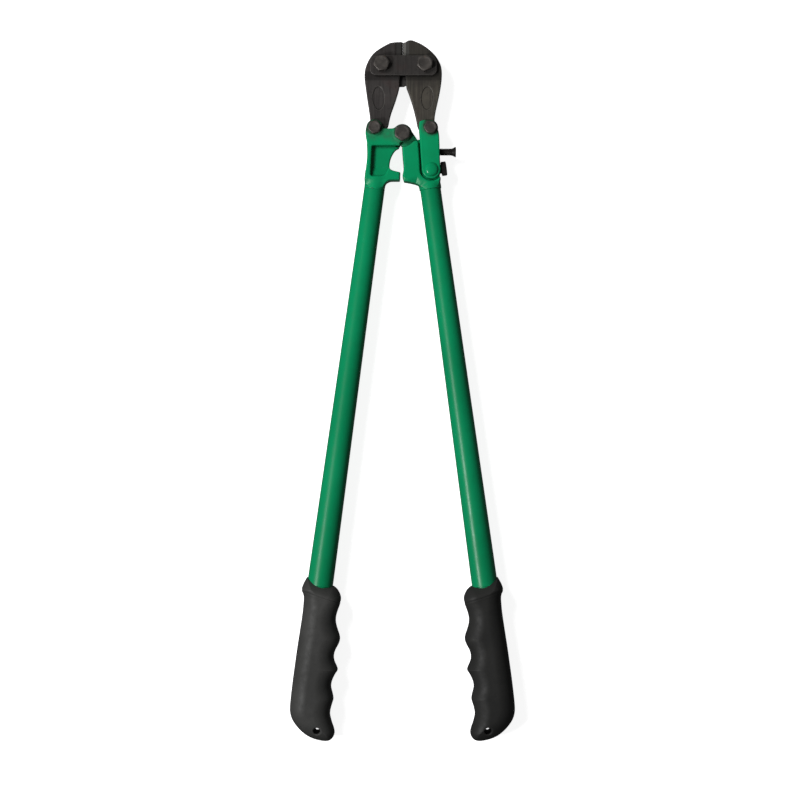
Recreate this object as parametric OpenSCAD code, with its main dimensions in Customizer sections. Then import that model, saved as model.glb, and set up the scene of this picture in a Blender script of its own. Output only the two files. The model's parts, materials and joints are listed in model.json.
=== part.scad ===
// Bolt cutters, 750 mm class, lying flat and closed.
// Y runs up the middle of the tool towards the jaws, X across it, Z is up.
// The floor is z = 0 and every pivot is vertical.

/* [Head] */
// Height of the middle plane of the tool above the floor
mid_z = 20; // [20:0.5:24]
// Thickness of the two forged jaws
jaw_t = 13; // [11:0.2:13]
// Thickness of each head strap
strap_t = 4.4; // [3:0.2:4.8]
// Distance between the two jaw bolts
jaw_pitch = 47.4; // [46:0.2:48]
// Width of the ground bevel beside each cutting edge
bevel_w = 6.8; // [5:0.2:7]
// Thickness of the rib that guides the left jaw in the right one
rib_t = 4; // [3:0.2:5]
// Half thickness left at the cutting edge
edge_t = 0.4; // [0.2:0.1:1]

/* [Brackets] */
// Thickness of the forged brackets and of the adjusting link
bracket_t = 22; // [20:0.5:22]
// Width of the slot that takes the jaw tails and the hinge tongue
slot_w = 13.6; // [13.6:0.1:14]
// Thickness of the hinge tongue of the right bracket
tongue_t = 12.8; // [11:0.2:12.8]
// Thickness of the web left in the pocket of the left bracket
pocket_web = 8; // [4:0.5:12]
// Radius of the centre hole in the hinge tongue
tongue_bore = 8.3; // [8.1:0.1:8.6]

/* [Handles] */
// Angle between each handle and the middle of the tool
splay = 7.82; // [7.5:0.05:8]
// Radius of a handle tube at the bracket
tube_r_top = 11.4; // [11.2:0.1:11.8]
// Radius of a handle tube at the grip
tube_r_low = 14.1; // [13.8:0.1:14.2]
// Wall of the handle tubes
tube_wall = 2; // [1.5:0.1:2.1]
// Length of a tube from the bracket to its own end inside the grip
tube_len = 571; // [540:1:572]
// Radius of the hanging hole at the end of each grip
hang_r = 3.75; // [3:0.25:4.5]

/* [Fasteners] */
// Radius of the jaw bolts and of the centre bolt
big_r = 5; // [4.5:0.1:5]
// Radius of the two handle bolts and of the link rivet
small_r = 4; // [3.5:0.1:4]
// Running clearance between a pin and the part that turns on it
fit = 0.06; // [0.03:0.01:0.1]

/* [Hidden] */
$fn = 48;

head_x = 0.9;                 // the head sits a little to the right of the handles' middle
jaw_y = 358.6;
JL = [head_x - jaw_pitch/2, jaw_y];
JR = [head_x + jaw_pitch/2, jaw_y];
TL = [-30.6, 288.8];          // left handle bolt
TR = [30.6, 288.8];           // right handle bolt
CB = [0, 282.6];              // centre bolt
RV = [31.6, 242.9];           // link rivet
seam = [30.87, 222];          // where a tube meets its bracket, on the tube's axis
grip_at = 411.4;              // from the seam to the start of the grip's own scale
screw_y = 263.1;
half_b = bracket_t/2;
strap_z = jaw_t/2 + 0.15;
strap_top = strap_z + strap_t;
steel = [0.24, 0.23, 0.22];
green = [0.0, 0.55, 0.33];
black = [0.16, 0.16, 0.16];
rubber = [0.22, 0.22, 0.21];

// points of an arc round c
function arc(c, r, a0, a1, n) = [for (i = [0:n]) let (a = a0 + (a1 - a0)*i/n) [c[0] + r*cos(a), c[1] + r*sin(a)]];

// a path of [x, y, radius] corners, with each corner rounded to its radius
function unit(v) = v/norm(v);
function corner(a, b, c, r, n) =
    let (u = unit([a[0] - b[0], a[1] - b[1]]), v = unit([c[0] - b[0], c[1] - b[1]]),
         half = acos(max(-1, min(1, u*v)))/2, m = unit(u + v), q = [b[0], b[1]] + m*r/sin(half),
         s = [b[0], b[1]] + u*r/tan(half) - q, e = [b[0], b[1]] + v*r/tan(half) - q,
         turn = (s[0]*e[1] - s[1]*e[0] > 0 ? 1 : -1)*(180 - 2*half))
    [for (i = [0:n]) let (t = turn*i/n) q + [s[0]*cos(t) - s[1]*sin(t), s[0]*sin(t) + s[1]*cos(t)]];
function rounded(p, n = 4) = [for (i = [0:len(p) - 1])
    each (len(p[i]) < 3 || p[i][2] == 0 ? [[p[i][0], p[i][1]]]
        : corner(p[(i + len(p) - 1) % len(p)], p[i], p[(i + 1) % len(p)], p[i][2], n))];

// an outline in the plane of the tool, from z0 to z1 about the middle plane
module slab(p, z0, z1) {
    translate([0, 0, mid_z + z0]) linear_extrude(z1 - z0) polygon(p);
}
// an upright cylinder about the middle plane
module pin(c, r, z0, z1) {
    translate([c[0], c[1], mid_z + z0]) cylinder(r = r, h = z1 - z0);
}
// an upright hexagon, across its flats
module hex(c, flats, z0, z1, turn = 0) {
    translate([c[0], c[1], mid_z + z0]) rotate([0, 0, turn]) cylinder(r = flats/2/cos(30), h = z1 - z0, $fn = 6);
}
// the frame of the left handle: z runs down the tube from the seam, x towards the other handle, y up
module on_left_handle() {
    translate([-seam[0], seam[1], mid_z]) rotate([0, 0, -splay]) rotate([90, 0, 0]) children();
}

// ---- head -------------------------------------------------------------
module strap(z0, z1) {
    difference() {
        slab(rounded([[-35.6, 367.8, 8.5], [-35.6, 345.8, 6.5], [38, 345.8, 6.5], [38, 367.8, 8.5]], 6), z0, z1);
        pin(JL, big_r + 0.05, z0 - 1, z1 + 1);
        pin(JR, big_r + 0.05, z0 - 1, z1 + 1);
    }
}
module front_strap() { color(steel) strap(strap_z, strap_top); }
module rear_strap() { color(steel) strap(-strap_top, -strap_z); }

// the ground bevels of one cutting edge that stands at x = e and faces side s
module bevels(e, s) {
    for (k = [-1, 1])
        translate([0, 392, mid_z]) rotate([90, 0, 0]) linear_extrude(34)
            polygon([[e + s*0.01, k*edge_t], [e - s*3.2, k*3.9], [e - s*bevel_w, k*(jaw_t/2 + 0.05)],
                [e + s*2, k*(jaw_t/2 + 0.05)], [e + s*2, k*edge_t]]);
}
// the shallow oval in the face of a tail
module oval(c, lean) {
    for (k = [-1, 1])
        translate([c[0], c[1], mid_z + k*jaw_t/2]) rotate([0, 0, lean]) {
            for (y = [-6, 6]) translate([0, y, -0.7]) cylinder(r = 6.2, h = 1.4);
            translate([-6.2, -6, -0.7]) cube([12.4, 12, 1.4]);
        }
}
module left_jaw() {
    color(steel) difference() {
        union() {
            slab(rounded([[0.3, 383.8], [-2.5, 383.4, 2], [-12.5, 382.8, 4], [-16.5, 380.9], [-24.8, 376.3], [-31.6, 371.3], [-35.9, 365.7],
                [-39, 359.2], [-41.1, 353], [-41.9, 346.8], [-41.4, 340], [-40.1, 331], [-38.7, 320.5], [-36.9, 309.5],
                [-35.4, 298.5], [-35.6, 289], [-30, 282.6], [-20, 284, 4], [-15.3, 291.5, 3], [-14.4, 297.5], [-12.2, 306],
                [-9.6, 313], [-6.8, 321], [-4.3, 329.5, 6], [-2.9, 335.5, 3], [-3.4, 341], [-1.2, 350], [0.2, 357], [0.3, 360]]),
                -jaw_t/2, jaw_t/2);
            pin(TL, 8.6, -jaw_t/2, jaw_t/2);
            // a rib that keeps the two jaws level, running in a groove of the right jaw
            slab(rounded([[-8, 334.8], [1.5, 334.8, 1], [4.6, 336.4, 1.5], [4.6, 345.5, 2], [-8, 347]]), -rib_t/2, rib_t/2);
        }
        bevels(0.3, 1);
        oval([-26.2, 321.5], 1);
        pin(JL, big_r + fit, -20, 20);
        pin(TL, small_r + fit, -20, 20);
    }
}
module right_jaw() {
    color(steel) difference() {
        union() {
            slab(rounded([[0.6, 383.4], [3.4, 383.3, 2], [6.2, 385.2, 2], [10.8, 385.4, 3], [15, 383.5], [19.5, 381.8], [26.3, 377.6],
                [33, 372], [37.4, 367], [40.2, 362.3], [42.4, 357.2], [43.5, 351], [43.3, 342.5], [42.1, 333.6], [40.5, 325],
                [38.5, 316], [36.4, 307], [35.2, 298.5], [35.6, 289], [30, 282.6], [20.5, 284, 4], [16.4, 290.5, 3], [15.4, 297.5],
                [13.9, 302.8], [11.7, 311.6], [9.2, 321], [6.2, 329.2, 6], [4, 334.5, 3], [4.2, 341], [2.2, 349], [0.7, 357], [0.6, 360]]),
                -jaw_t/2, jaw_t/2);
            pin(TR, 8.6, -jaw_t/2, jaw_t/2);
        }
        bevels(0.6, -1);
        slab([[-2, 326], [11.2, 326], [11.2, 353.5], [-2, 353.5]], -rib_t/2 - 0.2, rib_t/2 + 0.2);
        oval([27.2, 321.5], -1);
        pin(JR, big_r + fit, -20, 20);
        pin(TR, small_r + fit, -20, 20);
    }
}

// ---- fasteners --------------------------------------------------------
module bolt(c, r, flats, head_h, seat, end, turn = 0) {
    color(black) union() {
        pin(c, r, end, seat + 0.5);
        hex(c, flats, seat, seat + head_h, turn);
    }
}
module nut(c, r, flats, z0, z1, turn = 0) {
    color(black) difference() {
        hex(c, flats, z0, z1, turn);
        pin(c, r + 0.03, z0 - 1, z1 + 1);
    }
}
// a split spring washer
module washer(c, r, outer, z0, z1, cut) {
    color(black) difference() {
        pin(c, outer, z0, z1);
        pin(c, r + 0.15, z0 - 1, z1 + 1);
        translate([c[0], c[1], mid_z + z0 - 1]) rotate([0, 0, cut]) translate([r - 1, -0.5, 0]) cube([outer, 1, z1 - z0 + 2]);
    }
}
module left_jaw_bolt() { bolt(JL, big_r, 16, 6.4, strap_top, -20, 8); }
module right_jaw_bolt() { bolt(JR, big_r, 16, 6.4, strap_top, -20, 22); }
module left_jaw_washer() { washer(JL, big_r, 8.2, -strap_top - 2.2, -strap_top, 140); }
module right_jaw_washer() { washer(JR, big_r, 8.2, -strap_top - 2.2, -strap_top, 40); }
module left_jaw_nut() { nut(JL, big_r, 16, -strap_top - 8, -strap_top - 2.2, 14); }
module right_jaw_nut() { nut(JR, big_r, 16, -strap_top - 8, -strap_top - 2.2, 3); }
module left_handle_bolt() { bolt(TL, small_r, 13, 5.3, half_b, -19, 12); }
module left_handle_washer() { washer(TL, small_r, 7, -half_b - 1.8, -half_b, 200); }
module left_handle_nut() { nut(TL, small_r, 13, -half_b - 7, -half_b - 1.8, 5); }
module centre_bolt() { bolt(CB, big_r, 16, 6.4, half_b, -19.7, 25); }
module centre_washer() { washer(CB, big_r, 8.2, -half_b - 2.2, -half_b, 80); }
module centre_nut() { nut(CB, big_r, 16, -half_b - 7.8, -half_b - 2.2, 10); }
module right_handle_bolt() { bolt(TR, small_r, 13, 5.3, half_b, -19, 2); }
module right_handle_washer() { washer(TR, small_r, 7, -half_b - 1.8, -half_b, 320); }
module right_handle_nut() { nut(TR, small_r, 13, -half_b - 7, -half_b - 1.8, 20); }

// a rivet with a round head on each side of the link
module link_rivet() {
    color(green) translate([RV[0], RV[1], mid_z]) rotate_extrude()
        polygon(concat([[0, -half_b - 3.6]], [for (a = [-78:13:0]) [7.7*cos(a), -half_b + 3.6*sin(a)]],
            [[small_r, -half_b], [small_r, half_b]], [for (a = [0:13:78]) [7.7*cos(a), half_b + 3.6*sin(a)]], [[0, half_b + 3.6]]));
}

// ---- left handle ------------------------------------------------------
left_plate = rounded([[-40.2, 289.2], [-41.4, 283], [-39.4, 274, 8], [-38.9, 257, 10], [-41, 241], [-42.2, 224.5], [-19.6, 221.2],
    [-18.8, 225], [-16.8, 229], [-13.6, 230.9], [-2.6, 230.9, 0.8], [-2.1, 240.3, 0.8], [-6, 241], [-13.2, 243.2, 1.5],
    [-14.3, 248.5], [-13.2, 254.4], [-10.9, 260], [-8, 264.3], [-2.6, 267.2, 1], [-1.5, 273], [2, 282.6], [-4.5, 290],
    [-9, 288.4, 3], [-24.6, 288.4], [-30, 292]]);
module left_bracket() {
    color(green) difference() {
        union() {
            slab(left_plate, -half_b, half_b);
            pin(TL, 9, -half_b, half_b);
            pin(CB, 9.7, -half_b, half_b);
            on_left_handle() translate([0, 0, -19]) cylinder(r = tube_r_top, h = 19);
            on_left_handle() translate([0, 0, -5]) cylinder(r = tube_r_top - tube_wall - 0.05, h = 45);
        }
        slab([[-60, 271.8], [-12, 271.8], [-6, 267.8], [0, 266.3], [30, 266.3], [30, 330], [-60, 330]], -slot_w/2, slot_w/2);
        for (k = [-1, 1])
            slab(rounded([[-33.6, 269.4, 2], [-6, 269.4], [4, 268], [4, 246], [-13, 246.5], [-15.5, 243, 2], [-18, 237, 4], [-35.4, 235.8, 3]]),
                k > 0 ? pocket_web/2 : -20, k > 0 ? 20 : -pocket_web/2);
        pin(TL, small_r + 0.05, -20, 20);
        pin(CB, big_r + 0.05, -20, 20);
    }
}

// a tapered tube with its lower end drawn in to fit inside the grip
module tube() {
    step = grip_at + 21;
    rotate_extrude() polygon([[tube_r_top, 0], [tube_r_top + 0.1, 56], [tube_r_low, grip_at], [tube_r_low + 0.1, step],
        [13.4, step + 0.5], [13.4, tube_len], [13.4 - tube_wall, tube_len], [13.4 - tube_wall, step],
        [tube_r_low - tube_wall, grip_at], [tube_r_top + 0.1 - tube_wall, 56], [tube_r_top - tube_wall, 0]]);
}
module left_tube() { color(green) on_left_handle() tube(); }
module right_tube() { color(green) mirror([1, 0, 0]) on_left_handle() tube(); }

// the grip in slices down the tube: [distance, back, finger side, half thickness]
slices = [[20, -15.4, 15.6, 15.5], [25, -17, 17.6, 17], [30, -18.8, 21.2, 18.4], [35, -19.4, 23.8, 19], [40, -17.2, 24.9, 18.6],
    [46, -15.6, 24.3, 18], [54, -15, 22.7, 17.8], [61, -14.9, 22.2, 17.9], [68, -15, 23.8, 18.2], [75, -15.1, 27, 18.6],
    [82, -15.2, 29.6, 18.9], [90, -15.4, 28.5, 19], [97, -15.5, 26.2, 19], [105, -15.5, 26, 19.2], [111, -15.5, 29, 19.5],
    [117, -15.5, 32, 19.8], [122, -15.5, 29.8, 19.8], [129, -15.5, 27.6, 19.8], [136, -15.4, 26.9, 19.9], [142, -15.3, 29, 20],
    [148, -15.2, 31.4, 20], [156, -15, 30.3, 19.8], [164, -14.7, 30, 19.4], [171, -13.9, 31.8, 18.8], [177, -12, 34.4, 18],
    [183, -7, 37.2, 16.6], [188, -0.8, 38, 15], [193, 8, 36, 12.4], [197, 17, 32.5, 8]];
around = 20;
function soft(v) = sign(v)*pow(abs(v), 0.86);
function slice(s) = let (m = (s[1] + s[2])/2, a = (s[2] - s[1])/2)
    [for (i = [0:around - 1]) let (t = 360*i/around) [m + a*soft(cos(t)), s[3]*soft(sin(t)), s[0]]];
module grip_body() {
    n = len(slices);
    polyhedron(
        points = concat([for (s = slices) each slice(s)], [[0, 0, slices[0][0]], [24.8, 0, slices[n - 1][0]]]),
        faces = concat(
            [for (j = [0:n - 2]) for (i = [0:around - 1]) let (a = j*around + i, b = j*around + (i + 1) % around) each [[a, a + around, b], [b, a + around, b + around]]],
            [for (i = [0:around - 1]) [n*around, i, (i + 1) % around]],
            [for (i = [0:around - 1]) [n*around + 1, (n - 1)*around + (i + 1) % around, (n - 1)*around + i]]));
}
module grip() {
    color(rubber) difference() {
        translate([0, 0, grip_at]) grip_body();
        translate([0, 0, grip_at + 18]) cylinder(r = 13.45, h = tube_len - grip_at - 16);
        translate([0, 0, grip_at + 18]) cylinder(r = 14.35, h = 4);
        translate([18.5, 0, grip_at + 185]) rotate([90, 0, 0]) translate([0, 0, -25]) cylinder(r = hang_r, h = 50);
        for (k = [-1, 1]) translate([18.5, k*18, grip_at + 185]) rotate([90, 0, 0]) translate([0, 0, -4]) cylinder(r = 6, h = 8);
    }
}
module left_grip() { on_left_handle() grip(); }
module right_grip() { mirror([1, 0, 0]) on_left_handle() grip(); }

// ---- right handle -----------------------------------------------------
right_plate = rounded(concat(arc(CB, 14.4, -92, -36, 8), [[17.6, 275.4, 1], [18.3, 265], [19.2, 254], [19.6, 243]],
    arc(RV, 12, 190, 320, 10), [[41.8, 236, 0.5], [42, 229], [42.1, 224.5], [19.6, 221.2], [18.4, 222.8], [15.4, 226, 4], [11, 228],
    [6.2, 229.3], [1.6, 229.8, 1], [-0.5, 236.8, 2], [1.4, 242.6, 3], [0.4, 254.4], [-0.5, 265.6]]));
module right_bracket() {
    color(green) difference() {
        union() {
            slab(right_plate, -half_b, half_b);
            slab([[8.4, 288], [17.1, 274.8], [16.4, 262], [2.2, 262], [2.2, 266.5], [-7, 275.3], [0, 282.6]], -tongue_t/2, tongue_t/2);
            slab([[15, 254], [22.2, 255], [22.2, 276.5], [15, 275.6]], -tongue_t/2, tongue_t/2);
            pin(CB, 10.6, -tongue_t/2, tongue_t/2);
            slab(rounded([[17, 256.4], [36, 256.4, 5], [41.6, 250, 2], [41.6, 236], [38, 229], [17, 229]]), -tongue_t/2, tongue_t/2);
            mirror([1, 0, 0]) on_left_handle() translate([0, 0, -4]) cylinder(r = tube_r_top, h = 4);
            mirror([1, 0, 0]) on_left_handle() translate([0, 0, -5]) cylinder(r = tube_r_top - tube_wall - 0.05, h = 45);
        }
        pin(CB, tongue_bore, -20, 20);
        pin(RV, small_r + fit, -20, 20);
        translate([RV[0], RV[1], mid_z]) rotate([0, 0, splay]) rotate([0, 90, 0]) cylinder(r = 5.05, h = 30);
    }
}

// ---- adjuster ---------------------------------------------------------
link_plate = rounded([[18.5, 296, 2.5], [17.7, 288.5], [18.8, 280], [19.5, 265], [20.3, 254], [21.4, 242], [31, 236], [41.8, 243],
    [41.7, 249], [41, 265], [40.6, 281], [39, 288], [30.6, 297.2], [24, 297.4, 4]]);
module adjusting_link() {
    color(green) difference() {
        union() {
            for (z = [-half_b, slot_w/2]) {
                slab(link_plate, z, z + half_b - slot_w/2);
                pin(TR, 8.6, z, z + half_b - slot_w/2);
                pin(RV, 10.3, z, z + half_b - slot_w/2);
            }
            slab([[34.6, 257.6], [41.2, 257.6], [40.6, 277], [34.6, 277]], -half_b, half_b);
        }
        pin(TR, small_r + 0.05, -20, 20);
        pin(RV, small_r + 0.03, -20, 20);
        translate([30, screw_y, mid_z]) rotate([0, 90, 0]) cylinder(r = 4.05, h = 20);
    }
}
// a headed screw through the side of the link, its point against the right bracket
module adjusting_screw() {
    color(black) translate([0, screw_y, mid_z]) rotate([0, 90, 0]) difference() {
        rotate_extrude() polygon([[0, 22.6], [3, 22.6], [4, 23.6], [4, 55.4], [5.6, 57.8], [5.6, 59], [0, 59]]);
        translate([-7, -0.7, 57.4]) cube([14, 1.4, 3]);
    }
}
// a hexagon-headed screw in the edge of the right bracket, its point against the link rivet
module lock_screw() {
    color(black) translate([RV[0], RV[1], mid_z]) rotate([0, 0, splay]) rotate([0, 90, 0]) {
        translate([0, 0, 4.4]) cylinder(r = 5, h = 7);
        translate([0, 0, 11.2]) rotate([0, 0, 30]) cylinder(r = 7.4/cos(30), h = 5.8, $fn = 6);
    }
}

front_strap();
rear_strap();
left_jaw();
right_jaw();
left_jaw_bolt();
right_jaw_bolt();
left_jaw_washer();
right_jaw_washer();
left_jaw_nut();
right_jaw_nut();
left_bracket();
left_tube();
left_grip();
left_handle_bolt();
left_handle_washer();
left_handle_nut();
centre_bolt();
centre_washer();
centre_nut();
adjusting_link();
link_rivet();
right_handle_bolt();
right_handle_washer();
right_handle_nut();
right_bracket();
right_tube();
right_grip();
adjusting_screw();
lock_screw();
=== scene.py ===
import json, math
import bpy, bmesh
import numpy as np
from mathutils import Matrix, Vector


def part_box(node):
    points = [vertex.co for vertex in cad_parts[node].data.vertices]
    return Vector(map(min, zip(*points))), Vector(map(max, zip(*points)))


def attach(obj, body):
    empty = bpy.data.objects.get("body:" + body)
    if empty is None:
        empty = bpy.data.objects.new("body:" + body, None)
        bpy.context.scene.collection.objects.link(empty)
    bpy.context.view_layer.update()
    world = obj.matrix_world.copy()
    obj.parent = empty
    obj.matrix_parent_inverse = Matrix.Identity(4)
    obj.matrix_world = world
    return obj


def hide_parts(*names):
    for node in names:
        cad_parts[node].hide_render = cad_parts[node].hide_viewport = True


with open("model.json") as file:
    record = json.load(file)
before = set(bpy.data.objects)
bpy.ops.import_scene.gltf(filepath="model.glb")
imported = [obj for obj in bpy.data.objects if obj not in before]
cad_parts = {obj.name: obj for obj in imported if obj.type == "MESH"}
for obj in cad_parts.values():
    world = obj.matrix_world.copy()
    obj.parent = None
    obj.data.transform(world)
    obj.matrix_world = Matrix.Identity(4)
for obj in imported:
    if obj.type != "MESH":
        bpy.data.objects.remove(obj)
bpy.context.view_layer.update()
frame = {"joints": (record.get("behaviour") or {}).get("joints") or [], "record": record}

MM = 0.001

# ---------------------------------------------------------------------------
# Places, mostly read from the imported frame, in millimetres about the middle plane
# ---------------------------------------------------------------------------
def node_box(n):
    lo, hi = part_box(n)
    return np.array(lo) / MM, np.array(hi) / MM

def centre(n):
    lo, hi = node_box(n)
    return (lo + hi) / 2

ZC = centre("left_jaw")[2]
JOINTS = {j["name"]: j for j in frame["joints"]}

def at(joint):
    p = JOINTS[joint]["pos_m"]
    return np.array([p[0] / MM, p[1] / MM])

TL, JL, JR, TR = at("handle_opening"), at("left_jaw_pivot"), at("right_jaw_pivot"), at("right_link_pivot")
RV = at("jaw_adjustment")
CB = centre("centre_nut")[:2]
SPLAY = math.atan2(JOINTS["lock_screw_travel"]["axis"][1], JOINTS["lock_screw_travel"]["axis"][0])
CS, SN = math.cos(SPLAY), math.sin(SPLAY)
SEAM = np.array([-30.87, 222.0])          # on the axis of the left tube, where it meets its bracket
GRIP_AT = 411.4                           # from there to the start of the grip's own scale
HALF = node_box("adjusting_link")[1][2] - ZC      # half thickness of the brackets
JAW = node_box("left_jaw")[1][2] - ZC             # half thickness of the jaws
STRAP_TOP = node_box("front_strap")[1][2] - ZC
STRAP_LOW = node_box("front_strap")[0][2] - ZC
SCREW_Y = centre("adjusting_screw")[1]

# ---------------------------------------------------------------------------
# Solid shapes as distance fields
# ---------------------------------------------------------------------------
def smin(a, b, k):
    h = np.clip(0.5 + 0.5 * (b - a) / k, 0, 1)
    return b + (a - b) * h - k * h * (1 - h)

def smax(a, b, k):
    return -smin(-a, -b, k)

def step(a, b, x):
    t = np.clip((x - a) / (b - a), 0, 1)
    return t * t * (3 - 2 * t)

def poly(P, x, y):
    d = np.full(np.broadcast(x, y).shape, 1e9)
    s = np.ones(d.shape)
    for i in range(len(P)):
        a, b = P[i], P[i - 1]
        ex, ey = b[0] - a[0], b[1] - a[1]
        wx, wy = x - a[0], y - a[1]
        t = np.clip((wx * ex + wy * ey) / (ex * ex + ey * ey + 1e-12), 0, 1)
        d = np.minimum(d, (wx - ex * t) ** 2 + (wy - ey * t) ** 2)
        c1, c2, c3 = y >= a[1], y < b[1], ex * wy > ey * wx
        s = np.where((c1 & c2 & c3) | (~c1 & ~c2 & ~c3), -s, s)
    return s * np.sqrt(d)

def ext(d, z, h, r):
    """d is a distance in the plane, h the half thickness, r the edge radius."""
    a, b = d + r, np.abs(z) - h + r
    return np.minimum(np.maximum(a, b), 0) + np.hypot(np.maximum(a, 0), np.maximum(b, 0)) - r

def disc(c, r, x, y):
    return np.hypot(x - c[0], y - c[1]) - r

def curve(pts, turns=3):
    """(x, y) is a point of a smooth curve, (x, y, 0) a sharp corner and (x, y, r) a corner of that radius."""
    P, n = [], len(pts)
    for i, p in enumerate(pts):
        if len(p) > 2 and p[2] > 0:
            a, b, c = (np.array(pts[j % n][:2], float) for j in (i - 1, i, i + 1))
            u, v = (a - b) / np.linalg.norm(a - b), (c - b) / np.linalg.norm(c - b)
            half = math.acos(max(-1, min(1, float(u @ v)))) / 2
            m = (u + v) / np.linalg.norm(u + v)
            q = b + m * p[2] / math.sin(half)
            s, e = b + u * p[2] / math.tan(half) - q, b + v * p[2] / math.tan(half) - q
            turn = (1 if s[0] * e[1] - s[1] * e[0] > 0 else -1) * (math.pi - 2 * half)
            for k in range(7):
                t = turn * k / 6
                P.append((q[0] + s[0] * math.cos(t) - s[1] * math.sin(t), q[1] + s[0] * math.sin(t) + s[1] * math.cos(t), True))
        else:
            P.append((p[0], p[1], len(p) > 2))
    for _ in range(turns):
        out, n = [], len(P)
        for i, p in enumerate(P):
            if p[2]:
                out.append(p)
            else:
                a, c = P[i - 1], P[(i + 1) % n]
                out.append((p[0] * 0.75 + a[0] * 0.25, p[1] * 0.75 + a[1] * 0.25, False))
                out.append((p[0] * 0.75 + c[0] * 0.25, p[1] * 0.75 + c[1] * 0.25, False))
        P = out
    return [(p[0], p[1]) for p in P]

CORNERS = np.array([(i, j, k) for i in (0, 1) for j in (0, 1) for k in (0, 1)])
EDGES = [(a, b) for a in range(8) for b in range(a + 1, 8) if np.abs(CORNERS[a] - CORNERS[b]).sum() == 1]

def net(fn, lo, hi, h):
    """The surface fn = 0 as quads: one vertex in each cell that it crosses, moved on to the surface."""
    lo, hi = np.array(lo, float), np.array(hi, float)
    n = np.ceil((hi - lo) / h).astype(int) + 4
    start = lo - 1.5 * h
    ax = [start[i] + h * np.arange(n[i]) for i in range(3)]
    F = np.broadcast_to(fn(ax[0][:, None, None], ax[1][None, :, None], ax[2][None, None, :]), tuple(n)).astype(np.float32)
    S = F < 0
    inside = sum(S[c[0]:n[0] - 1 + c[0], c[1]:n[1] - 1 + c[1], c[2]:n[2] - 1 + c[2]].astype(np.int8) for c in CORNERS)
    cell = np.argwhere((inside > 0) & (inside < 8))
    ids = np.full(tuple(n - 1), -1, np.int64)
    ids[cell[:, 0], cell[:, 1], cell[:, 2]] = np.arange(len(cell))
    V = np.stack([F[cell[:, 0] + c[0], cell[:, 1] + c[1], cell[:, 2] + c[2]] for c in CORNERS], 1).astype(float)
    total, count = np.zeros((len(cell), 3)), np.zeros(len(cell))
    for a, b in EDGES:
        hit = (V[:, a] < 0) != (V[:, b] < 0)
        t = np.where(hit, V[:, a] / np.where(hit, V[:, a] - V[:, b], 1), 0)
        total += np.where(hit[:, None], CORNERS[a] + t[:, None] * (CORNERS[b] - CORNERS[a]), 0)
        count += hit
    p = start + h * (cell + total / count[:, None])
    quads = []
    for axis in range(3):
        u, v = (axis + 1) % 3, (axis + 2) % 3
        cut_a, cut_b = [slice(None)] * 3, [slice(None)] * 3
        cut_a[axis], cut_b[axis] = slice(0, -1), slice(1, None)
        A, B = S[tuple(cut_a)], S[tuple(cut_b)]
        e = np.argwhere(A != B)
        e = e[(e[:, u] > 0) & (e[:, v] > 0) & (e[:, u] < n[u] - 1) & (e[:, v] < n[v] - 1)]
        out = A[e[:, 0], e[:, 1], e[:, 2]]
        four = []
        for du, dv in ((-1, -1), (0, -1), (0, 0), (-1, 0)):
            q = e.copy()
            q[:, u] += du
            q[:, v] += dv
            four.append(ids[q[:, 0], q[:, 1], q[:, 2]])
        four = np.stack(four, 1)
        quads.append(np.where(out[:, None], four, four[:, ::-1]))
    quads = np.concatenate(quads)
    e = 0.06
    for _ in range(3):
        f = fn(p[:, 0], p[:, 1], p[:, 2])
        g = np.stack([fn(p[:, 0] + (e if k == 0 else 0), p[:, 1] + (e if k == 1 else 0), p[:, 2] + (e if k == 2 else 0)) - f for k in range(3)], 1) / e
        m = np.maximum((g * g).sum(1), 0.04)
        move = -(f / m)[:, None] * g
        long = np.linalg.norm(move, axis=1)
        p = p + move * np.minimum(1, 0.5 * h / np.maximum(long, 1e-9))[:, None]
    e = 0.45
    f = fn(p[:, 0], p[:, 1], p[:, 2])
    bend = -6 * f
    for k in range(3):
        for s in (e, -e):
            bend = bend + fn(p[:, 0] + (s if k == 0 else 0), p[:, 1] + (s if k == 1 else 0), p[:, 2] + (s if k == 2 else 0))
    return p, quads, np.clip(bend / (e * e), -2, 2)

# ---------------------------------------------------------------------------
# Meshes
# ---------------------------------------------------------------------------
def flat(p):                       # from the middle plane to the row frame
    return (p + np.array([0, 0, ZC])) * MM

def left_handle(p):                # x towards the other handle, y up, z down the tube
    x, y, z = p[:, 0], p[:, 1], p[:, 2]
    return np.stack([SEAM[0] + x * CS - z * SN, SEAM[1] - x * SN - z * CS, y + ZC], 1) * MM

def right_handle(p):
    q = left_handle(p)
    q[:, 0] *= -1
    return q

def to_object(name, co, faces, bend=None, mirrored=False, sharp=None):
    me = bpy.data.meshes.new(name)
    if isinstance(faces, np.ndarray):
        if mirrored:
            faces = faces[:, ::-1]
        me.vertices.add(len(co))
        me.vertices.foreach_set("co", np.ascontiguousarray(co, np.float32).ravel())
        me.loops.add(faces.size)
        me.loops.foreach_set("vertex_index", np.ascontiguousarray(faces, np.int32).ravel())
        me.polygons.add(len(faces))
        me.polygons.foreach_set("loop_start", np.arange(0, faces.size, 4, dtype=np.int32))
        me.polygons.foreach_set("loop_total", np.full(len(faces), 4, np.int32))
        me.update(calc_edges=True)
    else:
        me.from_pydata([tuple(c) for c in co], [], faces)
        bm = bmesh.new()
        bm.from_mesh(me)
        bmesh.ops.recalc_face_normals(bm, faces=bm.faces)
        bm.to_mesh(me)
        bm.free()
    me.validate()
    a = me.attributes.new("bend", "FLOAT", "POINT")
    if bend is not None and len(bend) == len(me.vertices):
        a.data.foreach_set("value", np.ascontiguousarray(bend, np.float32))
    me.shade_smooth()
    if sharp:
        me.set_sharp_from_angle(angle=math.radians(sharp))
    ob = bpy.data.objects.new(name, me)
    bpy.context.scene.collection.objects.link(ob)
    return ob

PIECES = {}

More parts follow.
